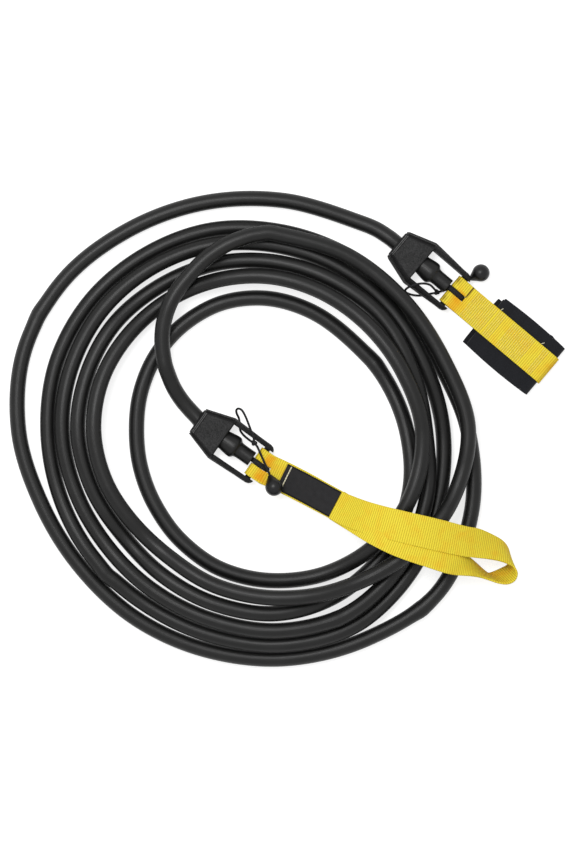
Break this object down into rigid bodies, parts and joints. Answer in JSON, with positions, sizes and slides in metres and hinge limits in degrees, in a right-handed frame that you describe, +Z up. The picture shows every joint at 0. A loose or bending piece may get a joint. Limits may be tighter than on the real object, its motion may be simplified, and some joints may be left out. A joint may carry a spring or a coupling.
{
  "type": "swim resistance cord",
  "caption": "Coiled black rubber resistance tube for swim training, with moulded stirrup ends, a yellow hand loop, a hook-and-loop cuff and ball toggles.",
  "frame": {"origin": "on the surface that the cord lies on, under the middle of the box round the frames, straps, cuff and toggles", "axes": "+Z up from the surface; +X along the picture's width to the right; +Y towards the picture's top edge"},
  "size_m": [0.4451, 0.3809, 0.0453],
  "materials": {
    "tube_rubber": "semi-matte black rubber",
    "plug_plastic": "plain white plastic, hidden in the tube's ends",
    "line_cord": "braided black cord",
    "frame_plastic": "textured black moulding",
    "yellow_webbing": "ribbed yellow webbing",
    "yellow_thread": "yellow sewing thread",
    "cuff_fabric": "black napped fabric",
    "hook_tape": "black hook tape",
    "loop_tape": "black loop tape",
    "label_fabric": "plain woven black label",
    "cream_thread": "cream sewing thread",
    "toggle_plastic": "satin black plastic"
  },
  "bodies": {
    "tube": {"tube_coil": "tube_rubber", "tube_lead_b": "tube_rubber", "tube_end_a": "tube_rubber", "tube_end_b": "tube_rubber", "end_plug_a": "plug_plastic", "end_plug_b": "plug_plastic", "safety_line": "line_cord", "frame_b": "frame_plastic", "line_tail_b": "line_cord", "toggle_cord_b": "line_cord", "toggle_tail_b": "line_cord"},
    "frame_a": {"frame_a": "frame_plastic", "line_tail_a": "line_cord", "toggle_cord_a": "line_cord"},
    "strap_a": {"strap_a": "yellow_webbing", "strap_a_stitching": "yellow_thread", "cuff_band": "cuff_fabric", "hook_patch": "hook_tape"},
    "cuff_flap": {"cuff_flap": "cuff_fabric", "loop_patch": "loop_tape"},
    "toggle_a": {"toggle_tail_a": "line_cord", "toggle_ball_a": "toggle_plastic"},
    "strap_b": {"hand_strap": "yellow_webbing", "label": "label_fabric", "label_thread": "cream_thread", "toggle_ball_b": "toggle_plastic"}
  },
  "joints": [
    {"name": "frame_a_swivel", "type": "hinge", "parent": "tube", "child": "frame_a", "pos_m": [0.0152, 0.13416, 0.0095], "axis": [0.766, -0.6428, 0], "continuous": true},
    {"name": "strap_a_swing", "type": "hinge", "parent": "frame_a", "child": "strap_a", "pos_m": [0.0604, 0.09624, 0.0095], "axis": [-0.6428, -0.766, 0], "range_deg": [0, 105]},
    {"name": "cuff_flap_open", "type": "hinge", "parent": "strap_a", "child": "cuff_flap", "pos_m": [0.13018, 0.03768, 0.0002], "axis": [-0.6428, -0.766, 0], "range_deg": [0, 150]},
    {"name": "toggle_a_swing", "type": "hinge", "parent": "frame_a", "child": "toggle_a", "pos_m": [0.04746, 0.0956, 0.0045], "axis": [0.766, -0.6428, 0], "range_deg": [-110, 0]},
    {"name": "strap_b_swing", "type": "hinge", "parent": "tube", "child": "strap_b", "pos_m": [-0.09627, -0.04138, 0.0095], "axis": [-0.5736, -0.8192, 0], "range_deg": [0, 100], "deforming": ["toggle_tail_b"]}
  ]
}
